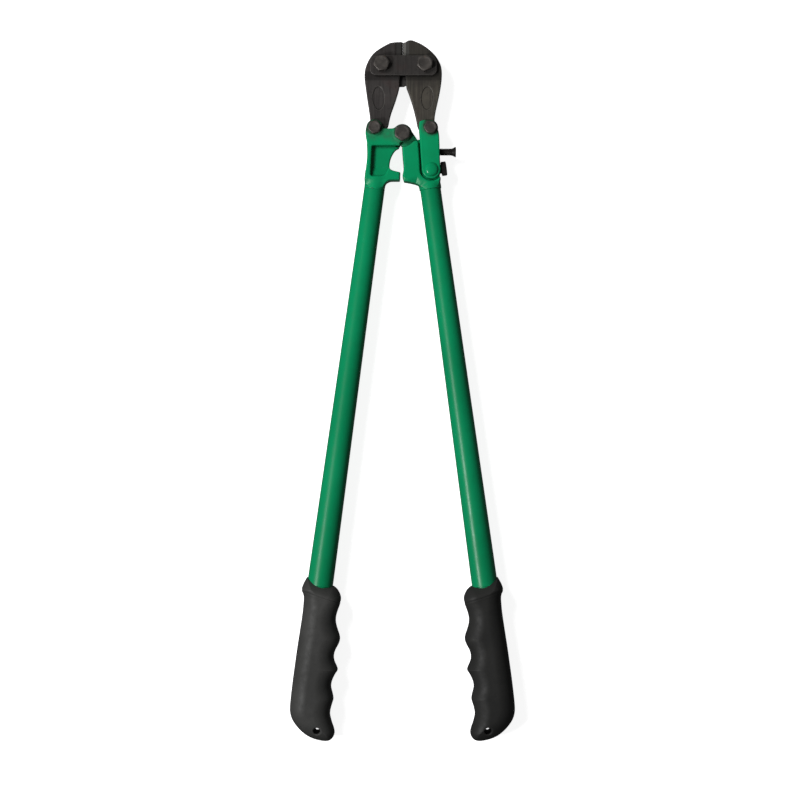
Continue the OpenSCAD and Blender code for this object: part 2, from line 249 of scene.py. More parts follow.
def put(ob, node, slot, *materials):
    for m in materials:
        ob.data.materials.append(m)
    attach(ob, BODY[node])
    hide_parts(node)
    PIECES[node] = ob
    return ob

BODY = {n: b for b, ns in frame["record"]["behaviour"]["bodies"].items() for n in ns}
SLOT = {s["node"]: s["material_slot"] for s in frame["record"]["subparts"]}

def solid(node, fn, lo, hi, h, materials, place=flat, mirrored=False):
    p, quads, bend = net(fn, lo, hi, h)
    ob = to_object("piece_" + node, place(p), quads, bend, mirrored)
    return put(ob, node, SLOT[node], *materials)

def revolve(rings, n=96, closed=False):
    """rings of (radius, height), each a number or an array over the angle, from one end of the axis to the other."""
    th = np.arange(n) * 2 * math.pi / n
    co, faces = [], []
    def ring(r, z):
        r, z = np.broadcast_to(r, (n,)), np.broadcast_to(z, (n,))
        co.append(np.stack([r * np.cos(th), r * np.sin(th), z], 1))
    for r, z in rings:
        ring(r, z)
    m = len(rings)
    co = np.concatenate(co)
    for j in range(m if closed else m - 1):
        a, b = j * n, ((j + 1) % m) * n
        for i in range(n):
            k = (i + 1) % n
            faces.append((a + i, a + k, b + k, b + i))
    if not closed:
        co = np.concatenate([co, [[0, 0, np.mean(rings[0][1])], [0, 0, np.mean(rings[-1][1])]]])
        for i in range(n):
            k = (i + 1) % n
            faces.append((m * n, k, i))
            faces.append((m * n + 1, (m - 1) * n + i, (m - 1) * n + k))
    return co, faces

def hexagon(flats, turn, n=96, p=90):
    """radius of a hexagon with faintly rounded corners, over the angle"""
    th = np.arange(n) * 2 * math.pi / n - math.radians(turn + 30)
    s = sum(np.maximum(0, np.cos(th - k * math.pi / 3)) ** p for k in range(6)) ** (1 / p)
    return flats / 2 / s

def chamfered(flats, turn, z_face, sign, depth=1.9, steps=12, start=0.925):
    """rings from the rim of a hexagon's face, down its conical chamfer to the plain hexagon"""
    hx = hexagon(flats, turn)
    out = []
    for i in range(steps + 1):
        d = depth * i / steps
        cone = flats / 2 * start + d * 1.75
        out.append((smin(hx, cone, 0.25), z_face - sign * d))
    return out

def threads(r, z0, z1, pitch, depth, n=96, per=8):
    th = np.arange(n) / n
    out = []
    count = max(2, int(abs(z1 - z0) / pitch * per))
    for i in range(count + 1):
        z = z0 + (z1 - z0) * i / count
        ph = (z / pitch - th) % 1
        tri = np.abs(ph * 2 - 1)
        fade = min(1, min(abs(z - z0), abs(z - z1)) / (0.6 * pitch))
        out.append((r - depth * np.clip(tri * 1.25 - 0.12, 0, 1) * fade, z))
    return out

# ---------------------------------------------------------------------------
# Materials
# ---------------------------------------------------------------------------
class Look:
    def __init__(self, name):
        self.mat = bpy.data.materials.new(name)
        self.mat.use_nodes = True
        self.t = self.mat.node_tree
        self.t.nodes.clear()
        self.out = self.t.nodes.new("ShaderNodeOutputMaterial")
        self.b = self.t.nodes.new("ShaderNodeBsdfPrincipled")
        self.t.links.new(self.b.outputs[0], self.out.inputs[0])
        self.tc = self.t.nodes.new("ShaderNodeTexCoord")

    def link(self, a, b):
        if isinstance(a, (int, float)):
            b.default_value = a
        elif isinstance(a, tuple):
            b.default_value = (*a, 1) if len(b.default_value) == 4 else a
        else:
            self.t.links.new(a, b)

    def stretch(self, x=1.0, y=1.0, z=1.0, turn=0.0):
        m = self.t.nodes.new("ShaderNodeMapping")
        self.t.links.new(self.tc.outputs["Object"], m.inputs["Vector"])
        m.inputs["Scale"].default_value = (x, y, z)
        m.inputs["Rotation"].default_value = (0, 0, turn)
        return m.outputs[0]

    def noise(self, scale, detail=4.0, rough=0.55, vec=None, warp=0.0):
        n = self.t.nodes.new("ShaderNodeTexNoise")
        self.t.links.new(vec if vec is not None else self.tc.outputs["Object"], n.inputs["Vector"])
        n.inputs["Scale"].default_value = scale
        n.inputs["Detail"].default_value = detail
        n.inputs["Roughness"].default_value = rough
        n.inputs["Distortion"].default_value = warp
        return n.outputs["Fac"]

    def cells(self, scale, vec=None, feature="F1"):
        n = self.t.nodes.new("ShaderNodeTexVoronoi")
        n.feature = feature
        self.t.links.new(vec if vec is not None else self.tc.outputs["Object"], n.inputs["Vector"])
        n.inputs["Scale"].default_value = scale
        return n.outputs["Distance"]

    def rescale(self, v, a, b, c=0.0, d=1.0, smooth=True):
        n = self.t.nodes.new("ShaderNodeMapRange")
        n.interpolation_type = "SMOOTHSTEP" if smooth else "LINEAR"
        self.link(v, n.inputs["Value"])
        for k, x in zip(("From Min", "From Max", "To Min", "To Max"), (a, b, c, d)):
            n.inputs[k].default_value = x
        return n.outputs["Result"]

    def math(self, op, a, b=0.0, clamp=False):
        n = self.t.nodes.new("ShaderNodeMath")
        n.operation = op
        n.use_clamp = clamp
        self.link(a, n.inputs[0])
        self.link(b, n.inputs[1])
        return n.outputs[0]

    def mix(self, f, a, b, kind="MIX"):
        n = self.t.nodes.new("ShaderNodeMix")
        n.data_type = "RGBA"
        n.blend_type = kind
        self.link(f, n.inputs[0])
        self.link(a, n.inputs[6])
        self.link(b, n.inputs[7])
        return n.outputs[2]

    def attribute(self, name):
        n = self.t.nodes.new("ShaderNodeAttribute")
        n.attribute_name = name
        return n.outputs["Fac"]

    def split(self, vec=None):
        n = self.t.nodes.new("ShaderNodeSeparateXYZ")
        self.t.links.new(vec if vec is not None else self.tc.outputs["Object"], n.inputs[0])
        return n.outputs

    def away(self, p):
        """distance from an upright line through p"""
        x, y, z = self.split()
        dx, dy = self.math("SUBTRACT", x, p[0]), self.math("SUBTRACT", y, p[1])
        return self.math("SQRT", self.math("ADD", self.math("MULTIPLY", dx, dx), self.math("MULTIPLY", dy, dy)))

    def bump(self, height, distance, strength=1.0, normal=None):
        n = self.t.nodes.new("ShaderNodeBump")
        n.inputs["Strength"].default_value = strength
        n.inputs["Distance"].default_value = distance
        self.link(height, n.inputs["Height"])
        if normal is not None:
            self.t.links.new(normal, n.inputs["Normal"])
        return n.outputs[0]

    def set(self, **k):
        for name, v in k.items():
            self.link(v, self.b.inputs[name.replace("_", " ")])
        return self

def enamel(name, forged, tone=1.0, gloss=0.0):
    k = Look(name)
    big, mid, fine = k.noise(9, 3), k.noise(70, 4), k.noise(650, 3)
    bend = k.attribute("bend")
    def c(r, g, b):
        return (r * tone, g * tone, b * tone)
    base = k.mix(k.rescale(big, 0.35, 0.65), c(0.0012, 0.290, 0.111), c(0.0020, 0.340, 0.134))
    base = k.mix(k.rescale(mid, 0.3, 0.75, 0, 0.35), base, c(0.001, 0.24, 0.088))
    # painted shade darkens the inside corners, and a painted highlight lightens the outer edges
    hollow = k.rescale(bend, -0.12, -0.9, 0, 0.55)
    base = k.mix(hollow, base, c(0.004, 0.11, 0.05))
    edge_highlight = k.rescale(bend, 0.35, 1.3, 0, 0.3)
    base = k.mix(edge_highlight, base, c(0.015, 0.42, 0.19))
    if forged:
        # painted shade darkens faces near the middle plane, such as the floor of the pocket, and grime with painted
        # shade darkens the faces round the bolts
        x, y, z = k.split()
        deep = k.math("ABSOLUTE", k.math("SUBTRACT", z, ZC * MM))
        base = k.mix(k.rescale(deep, 0.0085, 0.0055, 0, 0.3), base, c(0.002, 0.17, 0.07))
        # grime and painted shade in rings round the bolts and between the ear and the centre boss
        grime_and_shade = None
        for p, r0, r1 in ((TL, 0.008, 0.017), (TR, 0.0075, 0.0115), (CB, 0.009, 0.019), ((TL + CB) / 2, 0.006, 0.014)):
            g = k.rescale(k.away((p[0] * MM, p[1] * MM)), r1, r0, 0, 1)
            grime_and_shade = g if grime_and_shade is None else k.math("MAXIMUM", grime_and_shade, g)
        grime_and_shade = k.math("MULTIPLY", grime_and_shade, k.rescale(k.noise(150, 4, 0.6), 0.35, 0.6, 0.45, 1.0))
        base = k.mix(k.math("MULTIPLY", grime_and_shade, 0.55), base, (0.040, 0.105, 0.062))
        # grease and painted shade in a crescent beside each bolt head
        grease_and_shade = None
        for p, dx, dy, r0, r1 in ((TL, -1.2, 2.2, 0.0088, 0.0112), (TR, 1.6, 2.0, 0.0086, 0.0106), (CB, 1.6, 2.6, 0.0098, 0.0122)):
            g = k.rescale(k.away(((p[0] + dx) * MM, (p[1] + dy) * MM)), r1, r0, 0, 1)
            grease_and_shade = g if grease_and_shade is None else k.math("MAXIMUM", grease_and_shade, g)
        grease_and_shade = k.math("MULTIPLY", grease_and_shade, k.rescale(k.noise(210, 4, 0.6), 0.32, 0.55, 0.5, 0.88))
        base = k.mix(grease_and_shade, base, (0.024, 0.023, 0.020))
    # a few chips on the outer edges and small rubs elsewhere
    where = k.math("ADD", k.rescale(bend, 0.25, 1.1, 0, 0.16), k.noise(330, 5, 0.6))
    chips = k.math("MULTIPLY", k.rescale(where, 0.715, 0.745), k.rescale(k.noise(38, 2), 0.5, 0.62))
    if not forged:
        chips = k.math("MULTIPLY", k.rescale(k.noise(420, 5, 0.6), 0.735, 0.76), k.rescale(k.noise(16, 2), 0.55, 0.66))
    base = k.mix(chips, base, (0.035, 0.04, 0.035))
    # faint scuffs that only change the gloss
    scuff = k.noise(1.0, 5, 0.7, k.stretch(900, 55, 900, 0.12))
    rough = k.math("ADD", k.rescale(mid, 0.3, 0.7, 0.30, 0.38), k.rescale(scuff, 0.58, 0.72, 0, 0.10))
    rough = k.math("ADD", rough, k.math("MULTIPLY", chips, 0.25 - gloss))
    rough = k.math("SUBTRACT", rough, gloss)
    n = k.bump(fine, 0.00006, 0.55)
    if forged:
        n = k.bump(k.noise(190, 4, 0.6), 0.00045, 0.5, n)
        n = k.bump(k.noise(45, 2), 0.0012, 0.35, n)
    else:
        n = k.bump(k.noise(60, 2, 0.5), 0.0005, 0.16, n)
    n = k.bump(k.math("SUBTRACT", 1.0, chips), 0.00012, 0.7, n)
    k.set(Base_Color=base, Roughness=rough, Normal=n, Metallic=0.0)
    k.b.inputs["Specular IOR Level"].default_value = 0.36
    return k.mat

def forged_steel(name, warm, jaw_edge=None, side=1):
    """blackened steel with forging scale, draw marks along the tool and, on a jaw, a ground cutting edge"""
    k = Look(name)
    bend = k.attribute("bend")
    grain = k.noise(1.0, 6, 0.65, k.stretch(520, 26, 520))
    scale = k.noise(170, 6, 0.62)
    blotch = k.noise(38, 4, 0.6, None, 0.6)
    c1, c2 = ((0.098, 0.090, 0.076), (0.136, 0.122, 0.100)) if warm else ((0.066, 0.060, 0.058), (0.088, 0.080, 0.077))
    base = k.mix(k.rescale(blotch, 0.35, 0.65), c1, c2)
    base = k.mix(k.rescale(grain, 0.42, 0.66, 0, 0.55), base, (0.034, 0.030, 0.030))
    base = k.mix(k.rescale(k.noise(60, 3), 0.55, 0.75, 0, 0.5), base, (0.095, 0.066, 0.062))
    base = k.mix(k.rescale(scale, 0.55, 0.75, 0, 0.6), base, (0.030, 0.028, 0.028))
    # painted highlight lightens the outer edges and painted shade darkens the inside corners
    base = k.mix(k.rescale(bend, 0.3, 1.3, 0, 0.6), base, (0.15, 0.14, 0.13))
    base = k.mix(k.rescale(bend, -0.1, -0.8, 0, 0.6), base, (0.018, 0.017, 0.017))
    rough = k.rescale(scale, 0.3, 0.7, 0.42, 0.62)
    if jaw_edge is not None:
        # darker on the head than on the tails, with a painted shadow along the lower edge of the strap
        head = k.rescale(k.split()[1], 0.322, 0.352, 0, 1)
        base = k.mix(k.math("MULTIPLY", head, 0.62 if warm else 0.08), base, (0.034, 0.032, 0.030))
        # painted shadow in a band just below the strap
        strap_shadow = k.math("MULTIPLY", k.rescale(k.split()[1], 0.3395, 0.3425), k.rescale(k.split()[1], 0.352, 0.350))
        base = k.mix(k.math("MULTIPLY", strap_shadow, 0.55), base, (0.016, 0.015, 0.014))
    else:
        base = k.mix(0.28, base, (0.034, 0.033, 0.030))
    metal = 0.45
    n = k.bump(scale, 0.0003, 0.6)
    n = k.bump(grain, 0.00025, 0.45, n)
    n = k.bump(k.noise(40, 2), 0.0012, 0.3, n)
    if jaw_edge is not None:
        x, y, z = k.split()
        off = k.math("MULTIPLY", k.math("SUBTRACT", x, jaw_edge * MM), side)
        facet_highlight = k.rescale(off, 0.0034, 0.0030)
        strip = k.math("MULTIPLY", k.rescale(off, 0.0070, 0.0066), k.rescale(y, 0.357, 0.359))
        lines = k.noise(1.0, 4, 0.6, k.stretch(120, 1600, 120))
        # the ground strip is bare steel; on the right jaw its first facet is painted much lighter as a painted
        # highlight
        if side > 0:
            ground = k.mix(lines, (0.062, 0.061, 0.057), (0.095, 0.093, 0.086))
            ground = k.mix(facet_highlight, ground, k.mix(lines, (0.195, 0.192, 0.178), (0.225, 0.221, 0.208)))
        else:
            ground = k.mix(lines, (0.070, 0.067, 0.064), (0.105, 0.101, 0.096))
        base = k.mix(strip, base, ground)
        rough = k.math("ADD", k.math("MULTIPLY", rough, k.math("SUBTRACT", 1.0, strip)), k.math("MULTIPLY", strip, 0.40))
        metal = 0.45
        n = k.bump(k.math("MULTIPLY", lines, strip), 0.00012, 0.5, n)
    k.set(Base_Color=base, Roughness=rough, Normal=n, Metallic=metal)
    return k.mat

def black_oxide(name, tone=1.0):
    k = Look(name)
    a, b = k.noise(120, 5, 0.6), k.noise(900, 3)
    base = k.mix(k.rescale(a, 0.35, 0.7), (0.050 * tone, 0.046 * tone, 0.043 * tone), (0.082 * tone, 0.074 * tone, 0.068 * tone))
    base = k.mix(k.rescale(k.noise(300, 3), 0.6, 0.75, 0, 0.5), base, (0.10 * tone, 0.066 * tone, 0.048 * tone))
    n = k.bump(b, 0.00005, 0.5)
    n = k.bump(a, 0.00015, 0.35, n)
    k.set(Base_Color=base, Roughness=k.rescale(a, 0.3, 0.7, 0.36, 0.52), Normal=n, Metallic=0.6)
    return k.mat

def moulded_rubber(name, tone=1.0):
    k = Look(name)
    def c(v, w):
        return (v * tone, v * tone, w * tone)
    bend = k.attribute("bend")
    fine, mid, big = k.noise(1400, 3, 0.6), k.noise(160, 4, 0.6), k.noise(24, 3)
    pits = k.cells(1500)
    base = k.mix(k.rescale(big, 0.35, 0.65), c(0.0215, 0.0208), c(0.0275, 0.0265))
    base = k.mix(k.rescale(mid, 0.45, 0.75, 0, 0.4), base, c(0.018, 0.0175))
    # painted highlight lightens the outer edges and painted shade darkens the inside corners
    base = k.mix(k.rescale(bend, 0.05, 0.5, 0, 0.35), base, c(0.036, 0.035))
    base = k.mix(k.rescale(bend, -0.05, -0.4, 0, 0.4), base, c(0.012, 0.0117))
    dust = k.math("MULTIPLY", k.rescale(k.noise(500, 6, 0.7), 0.60, 0.72), k.rescale(k.noise(20, 2), 0.45, 0.65))
    base = k.mix(k.math("MULTIPLY", dust, 0.35), base, c(0.075, 0.072))
    rough = k.rescale(mid, 0.3, 0.7, 0.50, 0.62)
    n = k.bump(pits, 0.00008, 0.35)
    n = k.bump(fine, 0.00008, 0.4, n)
    n = k.bump(mid, 0.0002, 0.25, n)
    k.set(Base_Color=base, Roughness=rough, Normal=n)
    k.b.inputs["Specular IOR Level"].default_value = 0.34
    return k.mat

GREEN_FORGED = enamel("green_enamel_forged", True)
GREEN_RIVET = enamel("green_enamel_rivet", False, 1.0, 0.10)
GREEN_TUBE = enamel("green_enamel_tube", False, 0.84)
JAW_L = forged_steel("blackened_left_jaw", False, 0.3, -1)
JAW_R = forged_steel("blackened_right_jaw", True, 0.6, 1)
STRAP = forged_steel("blackened_strap", False)
OXIDE = black_oxide("black_oxide", 1.9)
OXIDE_DARK = black_oxide("black_oxide_dark", 0.6)
# one rubber for both grips, painted lighter on the left grip and darker on the right one as painted light and shade
RUBBER_L_LIT = moulded_rubber("grip_rubber_left_lit", 1.85)
RUBBER_R_SHADED = moulded_rubber("grip_rubber_right_shaded", 0.9)

# ---------------------------------------------------------------------------
# Head
# ---------------------------------------------------------------------------
def bevel_cut(f, x, y, z, e, side):
    """Takes away what is outside the ground facets of the cutting edge at x = e; the jaw's metal is on that side."""
    u = (x - e) * side
    facets = ((0.4, 3.5 / 3.2), (3.9 - 3.2 * 2.65 / 3.6, 2.65 / 3.6)) if side > 0 else ((0.4, 3.5 / 1.8), (3.9 - 1.8 * 0.36, 0.36))
    for z0, slope in facets:
        plane = (np.abs(z) - z0 - u * slope) / math.hypot(1, slope)
        f = np.maximum(f, np.minimum(plane, y - 358.0))
    return f

def recess(f, x, y, z, c, lean, a, b, half, deep, k=0.7):
    """a shallow oval let into both faces"""
    cx, cy = x - c[0], y - c[1]
    u, v = cx * math.cos(lean) + cy * math.sin(lean), -cx * math.sin(lean) + cy * math.cos(lean)
    d = (np.sqrt((u / a) ** 2 + (v / b) ** 2 + 1e-9) - 1) * min(a, b)
    return smax(f, -np.maximum(d, half - deep - np.abs(z)), k)

LEFT_JAW = curve([(0.42, 383.8, 0), (-2.5, 383.5), (-12.5, 382.8), (-16.5, 380.9), (-24.8, 376.3), (-31.6, 371.3), (-35.9, 365.7),
    (-39.2, 359.2), (-41.2, 353), (-41.9, 346.8), (-41.4, 340), (-40.1, 331), (-38.7, 320.5), (-36.9, 309.5),
    (-35.4, 298.5), (-35.6, 289), (-30, 282.6), (-20, 284), (-15.3, 291.5), (-14.4, 297.5), (-12.2, 306),
    (-9.6, 313), (-6.8, 321), (-4.3, 329.5), (-2.9, 335.5), (-3.2, 341), (-1.2, 350), (0.3, 357, 0), (0.42, 360, 0)])
RIGHT_JAW = curve([(0.48, 383.4, 0), (3.4, 383.3), (6.2, 385.1), (10.8, 385.4), (15, 383.5), (19.5, 381.8), (26.3, 377.6),
    (33, 372), (37.4, 367), (40.2, 362.3), (42.4, 357.2), (43.5, 351), (43.3, 342.5), (42.1, 333.6), (40.5, 325),
    (38.5, 316), (36.4, 307), (35.2, 298.5), (35.6, 289), (30, 282.6), (20.5, 284), (16.4, 290.5), (15.4, 297.5),
    (14.1, 302.8), (11.9, 311.6), (9.2, 321), (6.2, 329.2), (4, 334.5), (4.2, 341), (2.2, 349), (0.6, 357, 0), (0.48, 360, 0)])

RIB = curve([(-8, 334.8, 0), (1.5, 334.8, 1), (4.6, 336.4, 1.5), (4.6, 345.5, 2), (-8, 347, 0)])
GROOVE = [(-2, 326), (11.2, 326), (11.2, 353.5), (-2, 353.5)]

def jaw(outline, J, T, e, side, oval, lean):
    def fn(x, y, z):
        # drawn a little towards each face, as a forging is
        d = poly(outline, x, y) + 0.015 * np.abs(z)
        f = ext(d, z, JAW, 1.2)
        f = smin(f, ext(disc(T, 8.6, x, y), z, JAW, 1.0), 1.5)
        # the rib of the left jaw runs in a groove of the right one
        if side < 0:
            f = smin(f, ext(poly(RIB, x, y), z, 2.0, 0.5), 0.8)
        else:
            f = smax(f, -np.maximum(poly(GROOVE, x, y), np.abs(z) - 2.2), 0.4)
        f = recess(f, x, y, z, oval, lean, 6.4, 12.5, JAW, 0.75)
        f = bevel_cut(f, x, y, z, e, side)
        f = np.maximum(f, -disc(J, 5.25, x, y))
        return np.maximum(f, -disc(T, 4.25, x, y))
    return fn

H1 = 0.4
solid("left_jaw", jaw(LEFT_JAW, JL, TL, 0.42, -1, (-26.2, 321.5), math.radians(1.5)), (-42, 280, -7), (6, 385, 7), H1, [JAW_L])
solid("right_jaw", jaw(RIGHT_JAW, JR, TR, 0.48, 1, (27.2, 321.5), math.radians(-2.5)), (0, 280, -7), (44, 386, 7), H1, [JAW_R])

STRAP_OUT = curve([(-35.6, 367.8, 8.5), (-35.6, 345.8, 6.5), (38, 345.8, 6.5), (38, 367.8, 8.5)])
ZS, HS = (STRAP_TOP + STRAP_LOW) / 2, (STRAP_TOP - STRAP_LOW) / 2
for node, sg in (("front_strap", 1), ("rear_strap", -1)):
    def fn(x, y, z, sg=sg):
        w = z * sg - ZS
        # the blanked edge is rounded on the outer face and crisp on the inner one
        d = poly(STRAP_OUT, x, y)
        f = np.maximum(ext(d, w, HS, 0.25), ext(d, w + 2, HS + 2, 1.1))
        for c in (JL, JR):
            f = np.maximum(f, -disc(c, 5.1, x, y))
        return f
    z0, z1 = sorted((sg * STRAP_LOW, sg * STRAP_TOP))
    solid(node, fn, (-37, 344.5, z0 - 0.5), (39, 369, z1 + 0.5), 0.32, [STRAP])

# ---------------------------------------------------------------------------
# Brackets and link
# ---------------------------------------------------------------------------
def tube_boss(x, y, z, side, r, s0, s1, soft):
    """a round boss along a handle's tube; side -1 is the left one"""
    px, py = x * -side - SEAM[0] if side > 0 else x - SEAM[0], y - SEAM[1]
    u, s = px * CS - py * SN, -px * SN - py * CS
    rad = np.sqrt(u * u + z * z + 1e-9) - r
    w = np.abs(s - (s0 + s1) / 2) - (s1 - s0) / 2
    a, b = rad + soft, w + soft
    return np.minimum(np.maximum(a, b), 0) + np.hypot(np.maximum(a, 0), np.maximum(b, 0)) - soft, s

LEFT_PLATE = curve([(-40.2, 289.2), (-41.3, 283), (-39.5, 274.5), (-38.9, 265), (-38.9, 257), (-40.2, 246), (-41.2, 238), (-42.2, 224.5, 0), (-19.6, 221.2, 0),
    (-18.9, 225), (-17, 228.7), (-13.6, 230.9), (-8, 230.9), (-2.6, 230.9, 0.8), (-2.1, 240.3, 0.8), (-6, 241.2), (-11, 242.4), (-13.8, 244.4),
    (-14.3, 248.5), (-13.2, 254.4), (-10.9, 260), (-7.6, 264.8), (-2.6, 267.2, 1), (-1.5, 273, 0), (2, 282.6, 0), (-4.5, 290, 0),
    (-8.5, 288.7), (-12, 288.2), (-20, 288.3), (-25, 289), (-30, 292)])
POCKET = curve([(-33.6, 269.4, 2.5), (-6, 269.4, 0), (6, 268, 0), (6, 246, 0), (-12.5, 247), (-16, 243), (-18, 237.5), (-22, 235.6), (-35.4, 235.4, 3)])
SLOT_L = [(-60, 271.8), (-12, 271.8), (-6, 267.8), (0, 266.3), (30, 266.3), (30, 330), (-60, 330)]

def left_bracket(x, y, z):
    d = poly(LEFT_PLATE, x, y) + 0.05 * np.abs(z)
    boss, s = tube_boss(x, y, z, -1, 11.35, -19, 2, 0.45)
    # the flat of the forging dies away into the round of the tube
    f = ext(d, z, HALF, 1.7) + 2.6 * step(-11, -1.5, s)
    f = smin(f, ext(disc(TL, 9.0, x, y), z, HALF, 1.3), 2.0)
    f = smin(f, ext(disc(CB, 9.7, x, y), z, HALF, 1.4), 2.6)
    f = smin(f, boss, 3.0)
    f = np.maximum(f, s - 0.0)
    # pockets on both faces, with a soft floor that runs out over the nose
    pk = poly(POCKET, x, y)
    floor = 4.2 + 2.2 * step(246, 236, y)
    f = smax(f, -np.maximum(pk + 0.12 * (HALF - np.abs(z)), floor - np.abs(z)), 1.6)
    f = smax(f, -np.maximum(poly(SLOT_L, x, y), np.abs(z) - 6.8), 0.5)
    f = np.minimum(f, tube_boss(x, y, z, -1, 9.3, -3, 40, 0.5)[0])
    f = np.maximum(f, -disc(TL, 4.08, x, y))
    return np.maximum(f, -disc(CB, 5.08, x, y))

def arc(c, r, a0, a1, n):
    return [(c[0] + r * math.cos(math.radians(a0 + (a1 - a0) * i / n)), c[1] + r * math.sin(math.radians(a0 + (a1 - a0) * i / n))) for i in range(n + 1)]

RIGHT_PLATE = curve(arc(CB, 14.4, -92, -36, 8) + [(17.6, 275.4), (18.3, 265), (19.2, 254), (19.6, 243)]
    + arc(RV, 12, 190, 320, 10) + [(41.8, 236, 0.5), (42, 229), (42.1, 224.5, 0), (19.6, 221.2, 0), (18.2, 223.4), (15.4, 226), (11, 228),
    (6.2, 229.3), (1.6, 229.8, 1), (-0.2, 236.8), (1.3, 242.6), (1.1, 248), (0.4, 254.4), (-0.4, 265.6)], 2)
ARM = curve([(8.4, 288, 0), (17.1, 274.8, 0), (16.4, 262, 0), (2.2, 262, 0), (2.2, 266.5, 0), (-7, 275.3, 0), (0, 282.6, 0)])
SLOPE = [(-6, 236), (1, 234.4), (6.5, 232.3), (16.5, 235.3), (21.1, 230.3), (25.2, 224.9), (25.2, 212), (-6, 212)]
LAND = [(15, 254), (22.2, 255), (22.2, 276.5), (15, 275.6)]
CHEEK = curve([(17, 256.4, 0), (36, 256.4, 5), (41.6, 250, 2), (41.6, 236), (38, 229, 0), (17, 229, 0)])

def right_bracket(x, y, z):
    d = poly(RIGHT_PLATE, x, y) + 0.05 * np.abs(z)
    boss, s = tube_boss(x, y, z, 1, 11.35, -4, 2, 0.45)
    f = ext(d, z, HALF, 1.6) + 2.6 * step(-11, -1.5, s)
    # a sloping face below a ridge, along the lower edge
    f = smax(f, (np.abs(z) - HALF - 0.42 * poly(SLOPE, x, y)) / 1.085, 0.7)
    f = smin(f, boss, 3.0)
    low = tube_boss(x, y, z, 1, 11.35, -14, 2, 0.45)[0]
    # the round of the tube rises out of the flat of the bracket below the link
    low = smax(low, 13.2 - disc(RV, 0, x, y), 2.0)
    f = smin(f, low, 3.0)
    f = np.maximum(f, s)
    mid = np.minimum(np.minimum(poly(ARM, x, y), poly(LAND, x, y)), poly(CHEEK, x, y))
    f = smin(f, ext(mid, z, 6.4, 0.8), 1.0)
    f = np.minimum(f, ext(disc(CB, 10.6, x, y), z, 6.4, 1.0))
    f = np.minimum(f, tube_boss(x, y, z, 1, 9.3, -3, 40, 0.5)[0])
    f = np.maximum(f, -disc(CB, 8.3, x, y))
    f = np.maximum(f, -disc(RV, 4.2, x, y))
    px, py = x - RV[0], y - RV[1]
    u, v = px * CS + py * SN, -px * SN + py * CS
    return np.maximum(f, -np.maximum(np.sqrt(v * v + z * z + 1e-9) - 5.1, -u))

LINK = curve([(18.5, 296, 2.5), (17.8, 288.5), (18.8, 280), (19.2, 273), (19.5, 265), (20.3, 254), (21.4, 242, 0), (31, 236, 0), (41.8, 243, 0),
    (41.6, 249), (41.1, 260), (40.8, 272), (40.5, 281), (39, 288), (30.6, 297.2, 0), (24, 297.4, 4)])
WEB = [(34.6, 257.6), (41.2, 257.6), (40.6, 277), (34.6, 277)]

def adjusting_link(x, y, z):
    dd = smin(smin(poly(LINK, x, y), disc(TR, 8.6, x, y), 1.0), disc(RV, 10.3, x, y), 1.0) + 0.02 * np.abs(z)
    # the faces are a little crowned across the link
    crown = 0.45 * step(-9, 0, dd)
    f = ext(dd, z, HALF - crown * 0.6, 1.6)
    hollow = np.maximum(np.abs(z) - 6.8, -poly(WEB, x, y) - 0.0)
    f = smax(f, -hollow, 0.6)
    f = np.maximum(f, -disc(TR, 4.08, x, y))
    f = np.maximum(f, -disc(RV, 4.08, x, y))
    return np.maximum(f, -np.maximum(np.sqrt((y - SCREW_Y) ** 2 + z * z + 1e-9) - 4.1, 30 - x))

H2 = 0.45
solid("left_bracket", left_bracket, (-46, 178, -12), (13, 303, 12), H2, [GREEN_FORGED])
solid("right_bracket", right_bracket, (-13, 178, -12), (46, 298, 12), H2, [GREEN_FORGED])
solid("adjusting_link", adjusting_link, (16, 230, -12), (43, 302, 12), 0.38, [GREEN_FORGED])

# ---------------------------------------------------------------------------
# Fasteners
# ---------------------------------------------------------------------------
def place_at(c):
    return lambda co: flat(co + np.array([c[0], c[1], 0]))

def bolt(node, c, r, flats, head, seat, end, turn, pitch, mat=None):
    top = seat + head
    rings = [(flats * 0.18, top - 0.22), (flats * 0.33, top - 0.22), (flats * 0.375, top - 0.08), (flats * 0.39, top), (flats * 0.44, top)]
    rings += chamfered(flats, turn, top, 1)
    hx = hexagon(flats, turn)
    rings += [(hx, seat + 1.2), (hx, seat + 0.42), (smin(hx, flats * 0.535, 0.3), seat + 0.36), (flats * 0.475, seat + 0.3), (flats * 0.475, seat), (r, seat), (r, seat - 1.0)]
    plain = end + 11
    if seat - 1.0 > plain:
        rings += [(r, plain + 0.5)]
    rings += threads(r, plain, end + 0.9, pitch, 0.55 * pitch)
    rings += [(r - 0.9, end + 0.12), (r - 1.3, end)]
    co, faces = revolve(rings)
    put(to_object("piece_" + node, place_at(c)(co), faces, sharp=32), node, SLOT[node], mat or OXIDE)

def nut(node, c, r, flats, z0, z1, turn):
    top, low = chamfered(flats, turn, z1, 1), chamfered(flats, turn, z0, -1)
    rings = [(r + 0.75, z1)] + top + [(hexagon(flats, turn), (z0 + z1) / 2)] + low[::-1] + [(r + 0.75, z0), (r + 0.02, z0 + 0.7), (r + 0.02, z1 - 0.7)]
    co, faces = revolve(rings, closed=True)
    put(to_object("piece_" + node, place_at(c)(co), faces, sharp=32), node, SLOT[node], OXIDE)

